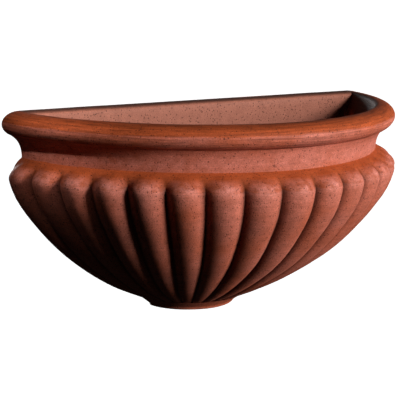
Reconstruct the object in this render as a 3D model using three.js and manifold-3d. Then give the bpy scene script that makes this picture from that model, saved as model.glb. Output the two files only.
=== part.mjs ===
// A half-round terracotta wall planter: a lobed bowl under a rolled rim, closed by a flat back
// slab, on a small half-round foot, and hung on two screws.
// Millimetres, +Z up. The back lies in the plane y = 0 and the bowl stands forward, along -Y.
// The origin is on the back, midway between the two hanging holes.

import * as THREE from 'three';
import { mergeVertices } from 'three/addons/utils/BufferGeometryUtils.js';
import Module from 'manifold-3d';

const wasm = await Module();
wasm.setup();

// ---- driving dimensions ----

const FIT_GAP = 0.3; // between pieces that touch

// rim: a rolled bead round the curved front, seen from above as a half oval
const RIM_HALF_WIDTH = 202;
const RIM_DEPTH = 170;
const PLAN_ROUNDNESS = 1.87; // 2 is an ellipse, less is more pointed
const CREST_REACH = 16; // from the outermost edge of the bead in to its crest
const CREST_HEIGHT = 10.5; // of the crest above the outermost edge
const UNDER_REACH = 9.5; // from the outermost edge in to the foot of the bead
const UNDER_HEIGHT = 10.5; // of the outermost edge above the foot of the bead
const UNDER_TURN = 60; // degrees that the bead turns under, 90 would end level
const LIP_RADIUS = 5; // where the top rolls into the mouth

// neck: the hollow under the bead
const SIDE_OVERHANG = 20; // of the bead over the neck
const FRONT_OVERHANG = 14;
const NECK_HEIGHT = 19.5;
const NECK_BEND = 5.5; // from the bead down to where the neck's two tangents meet

// lobes: eighteen fingers side by side, with round tops, tapering down to the foot
const LOBE_COUNT = 18;
const LOBE_FULLNESS = 0.54; // rise of a lobe over half its width
const BELLY_HALF_WIDTH = 193; // in the creases
const BELLY_DEPTH = 169.5;
const SHOULDER_HEIGHT = 17.5; // from the finger tops down to the belly
const SHOULDER_ROUNDNESS = 1.45; // 2 is a quarter ellipse, 1 is a straight slope

// flank: from the belly down to the heel, through points given as shares of its height,
// of its inward run at the sides and of its inward run at the front
const FLANK_HEIGHT = 122;
const FLANK_POINTS = [[0.12, 0.043, 0.025], [0.25, 0.125, 0.094], [0.55, 0.36, 0.322], [0.85, 0.721, 0.716]];
const HEEL_HALF_WIDTH = 52.5;
const HEEL_DEPTH = 45.5;

// foot: a half disc narrowing downwards
const FOOT_HEIGHT = 9.2;
const FOOT_LIP = 2; // of the foot's top beyond the creases of the heel
const FOOT_TAPER = 9;
const FOOT_EDGE = 3; // rounding of the lower edge

// clay
const WALL = 13;
const FLOOR = 14;
const SLAB = 13;
const SLAB_EDGE_DEPTH = 8; // rounding of the slab's top edge, from its front
const SLAB_EDGE_HEIGHT = 4;

// drain hole, through the floor and the foot
const DRAIN_DIAMETER = 14;

// hanging holes, through the slab
const HANG_SPACING = 190;
const HANG_DROP = 45; // below the top of the rim
const HANG_CLEARANCE = 1.25; // round the screw

// pan head screws
const SCREW_DIAMETER = 6;
const SCREW_LENGTH = 60;
const SCREW_TIP = 8;
const HEAD_FLANGE = 3; // of the head beyond the shank
const HEAD_HEIGHT = 4.2;
const RECESS_WIDTH = 1.4;
const RECESS_SPAN = 6.4;
const RECESS_FLOOR = 1.8; // metal left under the recess

// washers under the heads
const WASHER_LAP = 7.75; // onto the slab round its hole
const WASHER_THICKNESS = 1.6;
const WASHER_CLEARANCE = 0.3; // round the screw
const WASHER_BEVEL = 0.3;

// plugs set into the wall behind
const PLUG_SET_BACK = 3; // its mouth lies this far inside the wall
const PLUG_WALL = 1.7;
const PLUG_COLLAR = 12; // unbroken length at the mouth
const PLUG_BARBS = 4;
const PLUG_BARB_HEIGHT = 0.6;
const PLUG_BARB_PITCH = 6;
const PLUG_TAIL = 14; // plain length at the far end
const PLUG_SLOT = 1.6;

// fineness of the curved surfaces
const LOBE_STEPS = 6;
const PLAN_STEPS = 54; // round the half oval, where it has no lobes
const ROUND_STEPS = 24;
const BEAD_STEPS = 4; // over the bead and again under it
const LIP_STEPS = 3;
const NECK_ROWS = 4;
const SHOULDER_ROWS = 5;
const FLANK_ROWS = 12;
const HOLLOW_ROWS = 12;
const MOUTH_ROWS = 2;
const INNER_STATIONS = 8; // where the wall's thickness is measured along the flank
const INNER_SAMPLES = 400; // along the inner profile
const WELD_DISTANCE = 1e-4; // points closer than this are one
const CUT_MARGIN = 5; // of a cutting solid past what it cuts

// ---- levels and plan sizes that follow ----

const rimTop = HANG_DROP;
const jointTop = rimTop - CREST_HEIGHT - UNDER_HEIGHT;
const bowlTop = jointTop - FIT_GAP;
const shoulderTop = jointTop - NECK_HEIGHT;
const bellyLevel = shoulderTop - SHOULDER_HEIGHT;
const heelLevel = bellyLevel - FLANK_HEIGHT;
const footTop = heelLevel - FIT_GAP;
const footBottom = footTop - FOOT_HEIGHT;
const floorLevel = heelLevel + FLOOR;

const rimThickness = CREST_REACH + LIP_RADIUS; // from the outermost edge to the mouth

// a station is (half width, depth, level) of one horizontal outline
const neck = new THREE.Vector3(RIM_HALF_WIDTH - SIDE_OVERHANG, RIM_DEPTH - FRONT_OVERHANG, shoulderTop);
const belly = new THREE.Vector3(BELLY_HALF_WIDTH, BELLY_DEPTH, bellyLevel);
const heel = new THREE.Vector3(HEEL_HALF_WIDTH, HEEL_DEPTH, heelLevel);
const footRim = new THREE.Vector3(heel.x + FOOT_LIP, heel.y + FOOT_LIP, footTop);
const footSide = new THREE.Vector3(footRim.x - FOOT_TAPER, footRim.y - FOOT_TAPER, footBottom + FOOT_EDGE);
const footSole = new THREE.Vector3(footSide.x - FOOT_EDGE, footSide.y - FOOT_EDGE, footBottom);

const drainForward = (SLAB + footSole.y) / 2; // midway between the slab and the front of the sole

// ---- helpers ----

function asSolid(geometry) {
  const bare = geometry.clone();
  bare.deleteAttribute('normal');
  bare.deleteAttribute('uv');
  const merged = mergeVertices(bare, WELD_DISTANCE);
  const vertProperties = new Float32Array(merged.attributes.position.array);
  const triVerts = new Uint32Array(merged.index.array);
  return new wasm.Manifold(new wasm.Mesh({ numProp: 3, vertProperties, triVerts }));
}

function asGeometry(solid) {
  const mesh = solid.getMesh();
  const geometry = new THREE.BufferGeometry();
  geometry.setAttribute('position', new THREE.BufferAttribute(mesh.vertProperties, 3));
  geometry.setIndex(new THREE.BufferAttribute(mesh.triVerts, 1));
  geometry.computeVertexNormals();
  return geometry;
}

// triangles that fill one loop, counter-clockwise in its own plane
function capFaces(loop, flatten) {
  const flat = loop.map(flatten);
  const faces = THREE.ShapeUtils.triangulateShape(flat, []);
  return faces.map(([a, b, c]) => {
    const area = THREE.ShapeUtils.area([flat[a], flat[b], flat[c]]);
    return area > 0 ? [a, b, c] : [a, c, b];
  });
}

// a closed skin over a row of loops that all have the same number of points and run
// counter-clockwise seen from the last loop's side
function skin(loops, flatten) {
  const count = loops[0].length;
  const last = (loops.length - 1) * count;
  const index = [];
  for (let row = 0; row + 1 < loops.length; row += 1) {
    for (let i = 0; i < count; i += 1) {
      const a = row * count + i;
      const b = row * count + ((i + 1) % count);
      index.push(a, b, b + count, a, b + count, a + count);
    }
  }
  for (const [a, b, c] of capFaces(loops[0], flatten)) {
    index.push(a, c, b);
  }
  for (const [a, b, c] of capFaces(loops.at(-1), flatten)) {
    index.push(last + a, last + b, last + c);
  }
  const geometry = new THREE.BufferGeometry();
  geometry.setAttribute('position', new THREE.Float32BufferAttribute(
    loops.flat().flatMap((p) => [p.x, p.y, p.z]), 3));
  geometry.setIndex(index);
  geometry.computeVertexNormals();
  return geometry;
}

const fromAbove = (p) => new THREE.Vector2(p.x, p.y);

// direction on the half oval, from the left end (turn 0) over the front to the right end (turn 1)
function onPlan(turn) {
  const across = -Math.cos(Math.PI * turn);
  const forward = turn === 0 || turn === 1 ? 0 : Math.sin(Math.PI * turn);
  const power = Math.abs(across) ** PLAN_ROUNDNESS + forward ** PLAN_ROUNDNESS;
  const stretch = power ** (-1 / PLAN_ROUNDNESS);
  return new THREE.Vector2(across * stretch, -forward * stretch);
}

function plainOutline(station, steps) {
  return Array.from({ length: steps + 1 }, (_, i) => {
    const p = onPlan(i / steps);
    return new THREE.Vector3(p.x * station.x, p.y * station.y, station.z);
  });
}

// the same outline run back past the plane y = 0, for solids that cut the back open
function openOutline(station, steps) {
  return [
    new THREE.Vector3(-station.x, CUT_MARGIN, station.z),
    ...plainOutline(station, steps),
    new THREE.Vector3(station.x, CUT_MARGIN, station.z),
  ];
}

// how far a lobe stands out, as a share of half its width: across runs from -1 to 1 between
// its creases, and up runs from 0 at the belly to 1 at the finger's tip
function lobeRise(across, up) {
  const radius = (1 + LOBE_FULLNESS ** 2) / (2 * LOBE_FULLNESS);
  const reach = radius ** 2 - across ** 2 - up ** 2;
  return Math.max(0, Math.sqrt(Math.max(0, reach)) - (radius - LOBE_FULLNESS));
}

function lobedOutline(station, up) {
  const steps = LOBE_COUNT * LOBE_STEPS;
  const halfLobe = Math.PI / LOBE_COUNT / 2;
  return plainOutline(station, steps).map((p, i) => {
    const across = ((i % LOBE_STEPS) / LOBE_STEPS) * 2 - 1;
    const rise = 1 + halfLobe * lobeRise(across, up);
    return new THREE.Vector3(p.x * rise, p.y * rise, p.z);
  });
}

// ---- profiles ----

// outer profile in the creases, from the bead down: neck, shoulder and flank
const neckCurve = new THREE.QuadraticBezierCurve3(
  new THREE.Vector3(RIM_HALF_WIDTH - UNDER_REACH, RIM_DEPTH - UNDER_REACH, bowlTop),
  new THREE.Vector3(neck.x, neck.y, jointTop - NECK_BEND),
  neck,
);

const flankCurve = new THREE.CatmullRomCurve3([
  belly,
  ...FLANK_POINTS.map(([down, side, front]) => new THREE.Vector3(
    THREE.MathUtils.lerp(belly.x, heel.x, side),
    THREE.MathUtils.lerp(belly.y, heel.y, front),
    THREE.MathUtils.lerp(belly.z, heel.z, down),
  )),
  heel,
]);

// a station on the shoulder, where the creases swell out from the neck to the belly
function shoulderStation(up) {
  const swell = (1 - up ** SHOULDER_ROUNDNESS) ** (1 / SHOULDER_ROUNDNESS);
  return new THREE.Vector3(
    THREE.MathUtils.lerp(neck.x, belly.x, swell),
    THREE.MathUtils.lerp(neck.y, belly.y, swell),
    THREE.MathUtils.lerp(belly.z, neck.z, up),
  );
}

// a station moved inwards by the wall's thickness, measured square to the wall
function insideOf(point, tangent) {
  const side = WALL * Math.hypot(1, tangent.x / tangent.z);
  const front = WALL * Math.hypot(1, tangent.y / tangent.z);
  return new THREE.Vector3(point.x - side, point.y - front, point.z);
}

// inner profile: mouth, throat, hollow behind the belly, then along the flank
const mouth = new THREE.Vector3(
  RIM_HALF_WIDTH - rimThickness, RIM_DEPTH - rimThickness, rimTop - LIP_RADIUS);
const throat = new THREE.Vector3(neck.x - WALL, neck.y - WALL, neck.z + NECK_HEIGHT / 2);
const innerFlank = Array.from({ length: INNER_STATIONS }, (_, i) => {
  const share = (i + 1) / INNER_STATIONS;
  return insideOf(flankCurve.getPointAt(share), flankCurve.getTangentAt(share));
});
const innerCurve = new THREE.CatmullRomCurve3([mouth, throat, ...innerFlank]);
const innerPoints = innerCurve.getPoints(INNER_SAMPLES);

// the inner station at one level, straight up above the mouth
function innerAt(level) {
  const below = innerPoints.findIndex((p) => p.z <= level);
  if (below <= 0) {
    return new THREE.Vector3(mouth.x, mouth.y, level);
  }
  const upper = innerPoints[below - 1];
  const lower = innerPoints[below];
  return upper.clone().lerp(lower, (upper.z - level) / (upper.z - lower.z));
}

function levelsBetween(low, high, rows) {
  return Array.from({ length: rows }, (_, i) => THREE.MathUtils.lerp(low, high, i / rows));
}

// the levels where the inside has its facets, from the floor to past the rim
const mouthLevels = levelsBetween(jointTop, mouth.z, MOUTH_ROWS);
const hollowLevels = [
  ...levelsBetween(floorLevel, jointTop, HOLLOW_ROWS), ...mouthLevels, mouth.z, rimTop + CUT_MARGIN,
];

// everything inside the wall, above the floor, drawn in by a gap all round
function hollow(gap) {
  const loops = hollowLevels.map((level) => {
    const station = innerAt(level);
    station.x -= gap;
    station.y -= gap;
    return openOutline(station, PLAN_STEPS);
  });
  return asSolid(skin(loops, fromAbove));
}

// ---- cutters ----

const hangRadius = SCREW_DIAMETER / 2 + HANG_CLEARANCE;

// a cylinder along Y, through the slab at one hanging hole
function hangingHole(side) {
  const cylinder = new THREE.CylinderGeometry(
    hangRadius, hangRadius, SLAB + 2 * CUT_MARGIN, ROUND_STEPS);
  cylinder.translate((side * HANG_SPACING) / 2, -SLAB / 2, 0);
  return asSolid(cylinder);
}

// a cylinder along Z, through the floor and the foot
function drainHole() {
  const height = floorLevel - footBottom + 2 * CUT_MARGIN;
  const cylinder = new THREE.CylinderGeometry(DRAIN_DIAMETER / 2, DRAIN_DIAMETER / 2, height, ROUND_STEPS);
  cylinder.rotateX(Math.PI / 2);
  cylinder.translate(0, -drainForward, (floorLevel + footBottom) / 2);
  return asSolid(cylinder);
}

// ---- clay pieces ----

function bowlWall() {
  const flank = Array.from({ length: FLANK_ROWS }, (_, i) => lobedOutline(
    flankCurve.getPointAt(1 - i / FLANK_ROWS), 0));
  const shoulder = Array.from({ length: SHOULDER_ROWS }, (_, i) => {
    const up = Math.sin((Math.PI / 2) * (i / SHOULDER_ROWS));
    return lobedOutline(shoulderStation(up), up);
  });
  const neckRows = Array.from({ length: NECK_ROWS + 1 }, (_, i) => plainOutline(
    neckCurve.getPoint(1 - i / NECK_ROWS), LOBE_COUNT * LOBE_STEPS));
  const outside = asSolid(skin([...flank, ...shoulder, ...neckRows], fromAbove));
  return asGeometry(outside
    .subtract(hollow(0))
    .subtract(drainHole()));
}

// the section of the rim as stations: up the inside, over the lip and round the bead
function rimSection() {
  const inside = [...mouthLevels, mouth.z].map(innerAt);
  const lip = Array.from({ length: LIP_STEPS }, (_, i) => {
    const angle = (Math.PI / 2) * ((i + 1) / LIP_STEPS);
    const inwards = rimThickness - LIP_RADIUS * (1 - Math.cos(angle));
    const level = mouth.z + LIP_RADIUS * Math.sin(angle);
    return new THREE.Vector3(RIM_HALF_WIDTH - inwards, RIM_DEPTH - inwards, level);
  });
  const crest = Array.from({ length: BEAD_STEPS }, (_, i) => {
    const angle = (Math.PI / 2) * (i / BEAD_STEPS);
    const inwards = CREST_REACH * (1 - Math.sin(angle));
    const level = rimTop - CREST_HEIGHT * (1 - Math.cos(angle));
    return new THREE.Vector3(RIM_HALF_WIDTH - inwards, RIM_DEPTH - inwards, level);
  }).slice(1);
  const turn = THREE.MathUtils.degToRad(UNDER_TURN);
  const under = Array.from({ length: BEAD_STEPS + 1 }, (_, i) => {
    const angle = turn * (i / BEAD_STEPS);
    const inwards = (UNDER_REACH * (1 - Math.cos(angle))) / (1 - Math.cos(turn));
    const level = jointTop + UNDER_HEIGHT * (1 - Math.sin(angle) / Math.sin(turn));
    return new THREE.Vector3(RIM_HALF_WIDTH - inwards, RIM_DEPTH - inwards, level);
  });
  return [...inside, ...lip, ...crest, ...under];
}

function rimRoll() {
  const section = rimSection();
  const loops = Array.from({ length: PLAN_STEPS + 1 }, (_, i) => {
    const p = onPlan(i / PLAN_STEPS);
    return section.map((station) => new THREE.Vector3(p.x * station.x, p.y * station.y, station.z));
  });
  return skin(loops, (p) => new THREE.Vector2(-Math.abs(p.x), p.z));
}

function backSlab() {
  const bottom = floorLevel + FIT_GAP;
  const edge = Array.from({ length: LIP_STEPS + 1 }, (_, i) => {
    const angle = (Math.PI / 2) * (i / LIP_STEPS);
    const forward = SLAB - SLAB_EDGE_DEPTH * (1 - Math.sin(angle));
    return [-forward, rimTop - SLAB_EDGE_HEIGHT * (1 - Math.cos(angle))];
  });
  const section = [[0, bottom], [0, rimTop], ...edge, [-SLAB, bottom]];
  const loops = [-RIM_HALF_WIDTH, RIM_HALF_WIDTH].map((x) => section.map(
    ([y, z]) => new THREE.Vector3(x, y, z)));
  const plate = skin(loops, (p) => new THREE.Vector2(p.y, p.z));
  const fitted = hollow(FIT_GAP).intersect(asSolid(plate));
  return asGeometry(fitted.subtract(hangingHole(-1)).subtract(hangingHole(1)));
}

function foot() {
  const edge = Array.from({ length: LIP_STEPS }, (_, i) => {
    const angle = (Math.PI / 2) * (1 - i / LIP_STEPS);
    const inwards = FOOT_EDGE * (1 - Math.cos(angle));
    return new THREE.Vector3(
      footSide.x - inwards, footSide.y - inwards, footSide.z - FOOT_EDGE * Math.sin(angle));
  });
  const loops = [...edge, footSide, footRim].map((station) => plainOutline(station, PLAN_STEPS));
  const outside = skin(loops, fromAbove);
  return asGeometry(asSolid(outside).subtract(drainHole()));
}

// ---- fixings, turned about the Y axis ----

const headSeat = -(SLAB + FIT_GAP + WASHER_THICKNESS + FIT_GAP); // underside of the screw head

function turned(profile) {
  const points = profile.map(([radius, y]) => new THREE.Vector2(radius, y));
  return new THREE.LatheGeometry(points, ROUND_STEPS);
}

function wallScrew() {
  const shank = SCREW_DIAMETER / 2;
  const head = shank + HEAD_FLANGE;
  const dome = Array.from({ length: LIP_STEPS + 1 }, (_, i) => {
    const angle = (Math.PI / 2) * (i / LIP_STEPS);
    return [head * Math.sin(angle), headSeat - HEAD_HEIGHT * Math.cos(angle)];
  });
  const tip = headSeat + SCREW_LENGTH;
  const body = turned([...dome, [shank, headSeat], [shank, tip - SCREW_TIP], [0, tip]]);
  const recessDepth = HEAD_HEIGHT - RECESS_FLOOR;
  const recess = [0, Math.PI / 2].map((angle) => {
    const slot = new THREE.BoxGeometry(RECESS_SPAN, 2 * recessDepth, RECESS_WIDTH);
    slot.rotateY(angle);
    slot.translate(0, headSeat - HEAD_HEIGHT, 0);
    return asSolid(slot);
  });
  return asGeometry(recess.reduce((solid, slot) => solid.subtract(slot), asSolid(body)));
}

function washer() {
  const inner = SCREW_DIAMETER / 2 + WASHER_CLEARANCE;
  const outer = hangRadius + WASHER_LAP;
  const back = -(SLAB + FIT_GAP);
  const front = back - WASHER_THICKNESS;
  return turned([
    [inner, front], [outer - WASHER_BEVEL, front], [outer, front + WASHER_BEVEL],
    [outer, back - WASHER_BEVEL], [outer - WASHER_BEVEL, back], [inner, back], [inner, front],
  ]);
}

function wallPlug() {
  const bore = SCREW_DIAMETER / 2 + FIT_GAP;
  const outer = bore + PLUG_WALL;
  const root = outer - PLUG_BARB_HEIGHT;
  const split = PLUG_SET_BACK + PLUG_COLLAR;
  const end = split + PLUG_BARBS * PLUG_BARB_PITCH + PLUG_TAIL;
  const barbs = Array.from({ length: PLUG_BARBS }, (_, i) => {
    const y = split + i * PLUG_BARB_PITCH;
    return [[outer, y], [root, y], [outer, y + PLUG_BARB_PITCH]];
  }).flat();
  const sleeve = turned([
    [bore, PLUG_SET_BACK], [outer, PLUG_SET_BACK], ...barbs, [root, end], [bore, end],
    [bore, PLUG_SET_BACK],
  ]);
  const slot = new THREE.BoxGeometry(2 * (outer + CUT_MARGIN), end - split + CUT_MARGIN, PLUG_SLOT);
  slot.translate(0, (split + end + CUT_MARGIN) / 2, 0);
  return asGeometry(asSolid(sleeve).subtract(asSolid(slot)));
}

// ---- the planter ----

const terracotta = new THREE.MeshStandardMaterial({ color: 0xb9623f, roughness: 0.8, metalness: 0 });
const steel = new THREE.MeshStandardMaterial({ color: 0xb4b4ae, roughness: 0.35, metalness: 1 });
const nylon = new THREE.MeshStandardMaterial({ color: 0x8f9296, roughness: 0.6, metalness: 0 });

const planter = new THREE.Group();

function place(name, geometry, material, x = 0) {
  const mesh = new THREE.Mesh(geometry, material);
  mesh.name = name;
  mesh.position.x = x;
  planter.add(mesh);
}

place('bowl_wall', bowlWall(), terracotta);
place('rim_roll', rimRoll(), terracotta);
place('back_slab', backSlab(), terracotta);
place('foot', foot(), terracotta);
for (const [side, word] of [[-1, 'left'], [1, 'right']]) {
  const x = (side * HANG_SPACING) / 2;
  place(`wall_screw_${word}`, wallScrew(), steel, x);
  place(`washer_${word}`, washer(), steel, x);
  place(`wall_plug_${word}`, wallPlug(), nylon, x);
}

export default planter;
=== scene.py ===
"""A half-round terracotta wall planter: a lobed bowl under a rolled rim, closed by a flat back, on
a small half-round foot, with the screws, washers and plugs that it hangs on. Metres, +Z up. The
back lies in the plane y = 0, and the origin is midway between the two hanging holes."""

import math

import bmesh
import bpy
from bpy.props import FloatProperty, FloatVectorProperty, IntProperty, PointerProperty
from mathutils import Matrix, Vector


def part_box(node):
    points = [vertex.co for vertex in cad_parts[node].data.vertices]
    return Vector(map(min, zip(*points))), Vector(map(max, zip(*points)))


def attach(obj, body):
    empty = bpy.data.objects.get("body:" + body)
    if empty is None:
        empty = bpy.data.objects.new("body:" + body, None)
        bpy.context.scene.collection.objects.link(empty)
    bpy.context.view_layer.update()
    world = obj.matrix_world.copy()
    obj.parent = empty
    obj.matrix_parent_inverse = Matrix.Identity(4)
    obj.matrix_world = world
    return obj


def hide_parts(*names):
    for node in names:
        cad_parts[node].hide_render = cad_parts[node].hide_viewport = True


bl_info = {
    "name": "Terracotta wall planter",
    "version": (1, 0, 0),
    "blender": (4, 5, 0),
    "location": "View3D > Sidebar > Planter",
    "description": "Builds a lobed half-round wall planter, its fixings and a plain studio",
    "category": "Add Mesh",
}

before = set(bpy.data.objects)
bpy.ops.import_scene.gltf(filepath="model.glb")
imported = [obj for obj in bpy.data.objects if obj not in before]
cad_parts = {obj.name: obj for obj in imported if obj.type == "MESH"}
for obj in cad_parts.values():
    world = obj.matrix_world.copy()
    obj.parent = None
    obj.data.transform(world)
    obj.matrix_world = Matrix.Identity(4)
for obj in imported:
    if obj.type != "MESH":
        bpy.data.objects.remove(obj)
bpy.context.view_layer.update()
TINY = 1e-5
QUARTER = math.pi / 2

rim_low, rim_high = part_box("rim_roll")
bowl_low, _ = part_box("bowl_wall")
foot_low, foot_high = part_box("foot")
slab_low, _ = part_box("back_slab")
head_low, head_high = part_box("wall_screw_right")
ring_low, ring_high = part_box("washer_right")
plug_low, plug_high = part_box("wall_plug_right")


# ---- what a user would change ----


def length(name, about, default):
    return FloatProperty(name=name, description=about, default=default, unit="LENGTH", precision=4)


def share(name, about, default):
    return FloatProperty(name=name, description=about, default=default, min=0.0, max=1.0)


def power(name, about, default):
    return FloatProperty(name=name, description=about, default=default, min=1.0, max=3.0)


def light(name, about, default):
    return FloatProperty(name=name, description=about, default=default, min=0.0)


def colour(name, about, default):
    return FloatVectorProperty(
        name=name, description=about, default=default, size=3, subtype="COLOR", min=0.0, max=1.0
    )


class PlanterSizes(bpy.types.PropertyGroup):
    """Sizes of the four clay pieces."""

    rim_half_width: length("Rim half width", "From the middle to the end of the rim", rim_high.x)
    rim_depth: length("Rim depth", "From the back to the front of the rim", -rim_low.y)
    rim_top: length("Rim top", "Level of the rim's top above the hanging holes", rim_high.z)
    crest_reach: length("Crest reach", "From the bead's outermost edge in to its crest", 0.016)
    crest_height: length("Crest height", "Of the crest above the outermost edge", 0.0105)
    under_reach: length("Under reach", "From the outermost edge in to the bead's foot", 0.0095)
    under_height: length("Under height", "Of the outermost edge above the bead's foot", 0.0105)
    under_turn: FloatProperty(
        name="Under turn", description="How far the bead turns under", default=math.radians(60),
        subtype="ANGLE", min=0.1, max=QUARTER,
    )
    lip_radius: length("Lip radius", "Roll of the top into the mouth", 0.005)
    roundness: power("Roundness", "Power of the oval plan, 2 for an ellipse", 1.87)
    side_overhang: length("Side overhang", "Of the bead over the neck at the ends", 0.020)
    front_overhang: length("Front overhang", "Of the bead over the neck at the front", 0.014)
    neck_height: length("Neck height", "From the bead down to the finger tops", 0.0195)
    neck_bend: length("Neck bend", "From the bead down to where the neck's tangents meet", 0.0055)
    belly_half_width: length("Belly half width", "To the creases at the belly", 0.193)
    belly_depth: length("Belly depth", "To the creases at the belly", 0.1695)
    shoulder_height: length("Shoulder height", "From the finger tops down to the belly", 0.0175)
    shoulder_roundness: power("Shoulder roundness", "Power of the shoulder's curve", 1.6)
    heel_level: length("Heel level", "Level where the bowl meets its foot", bowl_low.z)
    heel_half_width: length("Heel half width", "Half the width of the bowl's underside", 0.0525)
    heel_depth: length("Heel depth", "Depth of the bowl's underside", 0.0455)
    lobe_count: IntProperty(name="Lobes", description="Fingers round the bowl", default=18, min=2)
    lobe_drift: length("Lobe drift", "Of the lobes to the right of an even spacing", 0.006)
    lobe_fullness: share("Lobe fullness", "Rise of a lobe over half its width", 0.56)
    wall: length("Wall", "Thickness of the clay", 0.013)
    floor: length("Floor", "Thickness of the clay under the soil", 0.014)
    slab: length("Slab", "Thickness of the flat back", -slab_low.y)
    slab_edge_depth: length("Slab edge depth", "Its top edge's rounding, from the front", 0.008)
    slab_edge_height: length("Slab edge height", "Its top edge's rounding, from the top", 0.004)
    drain_radius: length("Drain radius", "Of the hole through the floor and the foot", 0.007)
    drain_forward: length("Drain place", "From the back to the middle of the drain hole", 0.02425)
    foot_taper: length("Foot taper", "How far the foot narrows", 0.009)
    foot_edge: length("Foot edge", "Rounding of the foot's lower edge", 0.003)
    hang_radius: length("Hanging hole radius", "Of the holes through the slab", 0.00425)
    hang_half_spacing: length(
        "Half spacing", "From the middle to a hanging hole", (head_low.x + head_high.x) / 2
    )
    unevenness: length("Unevenness", "How far the hand-finished clay wanders", 0.0007)


class FixingSizes(bpy.types.PropertyGroup):
    """Sizes of the screws, washers and plugs."""

    shank_radius: length("Shank radius", "Of the screw", 0.003)
    head_radius: length("Head radius", "Of the screw", (head_high.x - head_low.x) / 2)
    head_height: length("Head height", "Of the screw", 0.0042)
    head_front: length("Head front", "Where the head begins, measured from the back", head_low.y)
    screw_tip: length("Screw tip", "How far the screw reaches behind the back", head_high.y)
    point_length: length("Point", "Length of the screw's point", 0.008)
    thread_pitch: length("Thread pitch", "From thread to thread", 0.0024)
    thread_depth: length("Thread depth", "Of the screw's thread", 0.0005)
    recess_width: length("Recess width", "Of one arm of the cross", 0.0014)
    recess_span: length("Recess span", "Across the cross", 0.0064)
    recess_depth: length("Recess depth", "Of the cross", 0.0024)
    washer_radius: length("Washer radius", "Outer radius", (ring_high.x - ring_low.x) / 2)
    washer_bore: length("Washer bore", "Inner radius", 0.0033)
    plug_radius: length("Plug radius", "Outer radius", (plug_high.x - plug_low.x) / 2)
    plug_bore: length("Plug bore", "Inner radius", 0.0033)
    plug_collar: length("Plug collar", "Unbroken length at the mouth", 0.012)
    plug_barb: length("Barb height", "Of the plug's barbs", 0.0006)
    plug_pitch: length("Barb pitch", "From barb to barb", 0.006)
    plug_barbs: IntProperty(name="Barbs", description="Barbs along the plug", default=4, min=1)
    plug_slot: length("Plug slot", "Width of the slot that lets the plug spread", 0.0016)


class PlanterLook(bpy.types.PropertyGroup):
    """Colours and light."""

    fired_orange: colour("Fired orange", "Bare fired clay", (0.38, 0.070, 0.019))
    # the bloom colour also stands in for a painted sheen on the upright faces
    pink_bloom_and_sheen: colour("Pink bloom and sheen", "Dry bloom on the upright faces", (0.50, 0.145, 0.095))
    # the colour of the painted highlight on each lobe's dome and at the neck's foot
    highlight_pale: colour("Painted highlight", "Clay rubbed on the proudest parts", (0.60, 0.205, 0.155))
    pale_inside: colour("Pale inside", "Unwiped clay inside the pot", (0.345, 0.124, 0.080))
    dark_speck: colour("Dark specks", "Grit in the clay", (0.020, 0.006, 0.004))
    zinc: colour("Zinc", "Plated steel", (0.62, 0.62, 0.60))
    plug_grey: colour("Plug grey", "Moulded plug", (0.28, 0.29, 0.31))
    key_strength: light("Key light", "Strength of the main lamp", 3.4)
    side_strength: light("Side light", "Strength of the low lamp", 1.35)
    fill_strength: light("Fill light", "Power of the small lamp on the left", 66.0)
    back_strength: light("Back light", "Strength of the lamp behind", 1.0)
    room_strength: light("Room light", "Strength of the light all round", 0.007)
    floor_drop: length("Floor drop", "From the hanging holes down to the floor", 1.6)


# ---- working by hand, in words ----


def clear_selection():
    if bpy.context.object and bpy.context.object.mode != "OBJECT":
        bpy.ops.object.mode_set(mode="OBJECT")
    bpy.ops.object.select_all(action="DESELECT")


def take(piece):
    clear_selection()
    piece.select_set(True)
    bpy.context.view_layer.objects.active = piece


def edit(piece):
    take(piece)
    bpy.ops.object.mode_set(mode="EDIT")
    bpy.ops.mesh.select_mode(type="VERT")


def leave():
    bpy.ops.object.mode_set(mode="OBJECT")


def named(name):
    piece = bpy.context.object
    piece.name = name
    piece.data.name = name
    return piece


def select_all():
    bpy.ops.mesh.select_all(action="SELECT")


def select(piece, test):
    """Selects the vertices that pass a test of their place."""
    mesh = bmesh.from_edit_mesh(piece.data)
    for vertex in mesh.verts:
        vertex.select = test(vertex.co)
    mesh.select_flush_mode()
    bmesh.update_edit_mesh(piece.data)


def select_edges(piece, test):
    """Selects the edges whose two ends pass a test."""
    bpy.ops.mesh.select_mode(type="EDGE")
    mesh = bmesh.from_edit_mesh(piece.data)
    for edge in mesh.edges:
        edge.select = test(*edge.verts)
    mesh.select_flush_mode()
    bmesh.update_edit_mesh(piece.data)


def scale(x, y, z=1, about=(0, 0, 0)):
    bpy.ops.transform.resize(value=(x, y, z), center_override=about)


def shift(x, y, z):
    bpy.ops.transform.translate(value=(x, y, z))


def finish_with(piece, kind, **settings):
    """Adds one modifier and applies it."""
    take(piece)
    bpy.ops.object.modifier_add(type=kind)
    modifier = piece.modifiers[-1]
    for name, value in settings.items():
        setattr(modifier, name, value)
    bpy.ops.object.modifier_apply(modifier=modifier.name)


def cut(piece, cutter, operation="DIFFERENCE"):
    """Cuts one piece by another, which is used up."""
    finish_with(piece, "BOOLEAN", object=cutter, operation=operation, solver="EXACT")
    mesh = cutter.data
    bpy.data.objects.remove(cutter)
    bpy.data.meshes.remove(mesh)


def place(piece, matrix):
    """Moves the piece's mesh, and leaves its object at the origin."""
    take(piece)
    piece.matrix_world = matrix
    bpy.ops.object.transform_apply(location=True, rotation=True, scale=True)


def smooth(piece, angle=38):
    take(piece)
    bpy.ops.object.shade_smooth_by_angle(angle=math.radians(angle))


def outward(piece):
    edit(piece)
    select_all()
    bpy.ops.mesh.normals_make_consistent(inside=False)
    leave()


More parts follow.
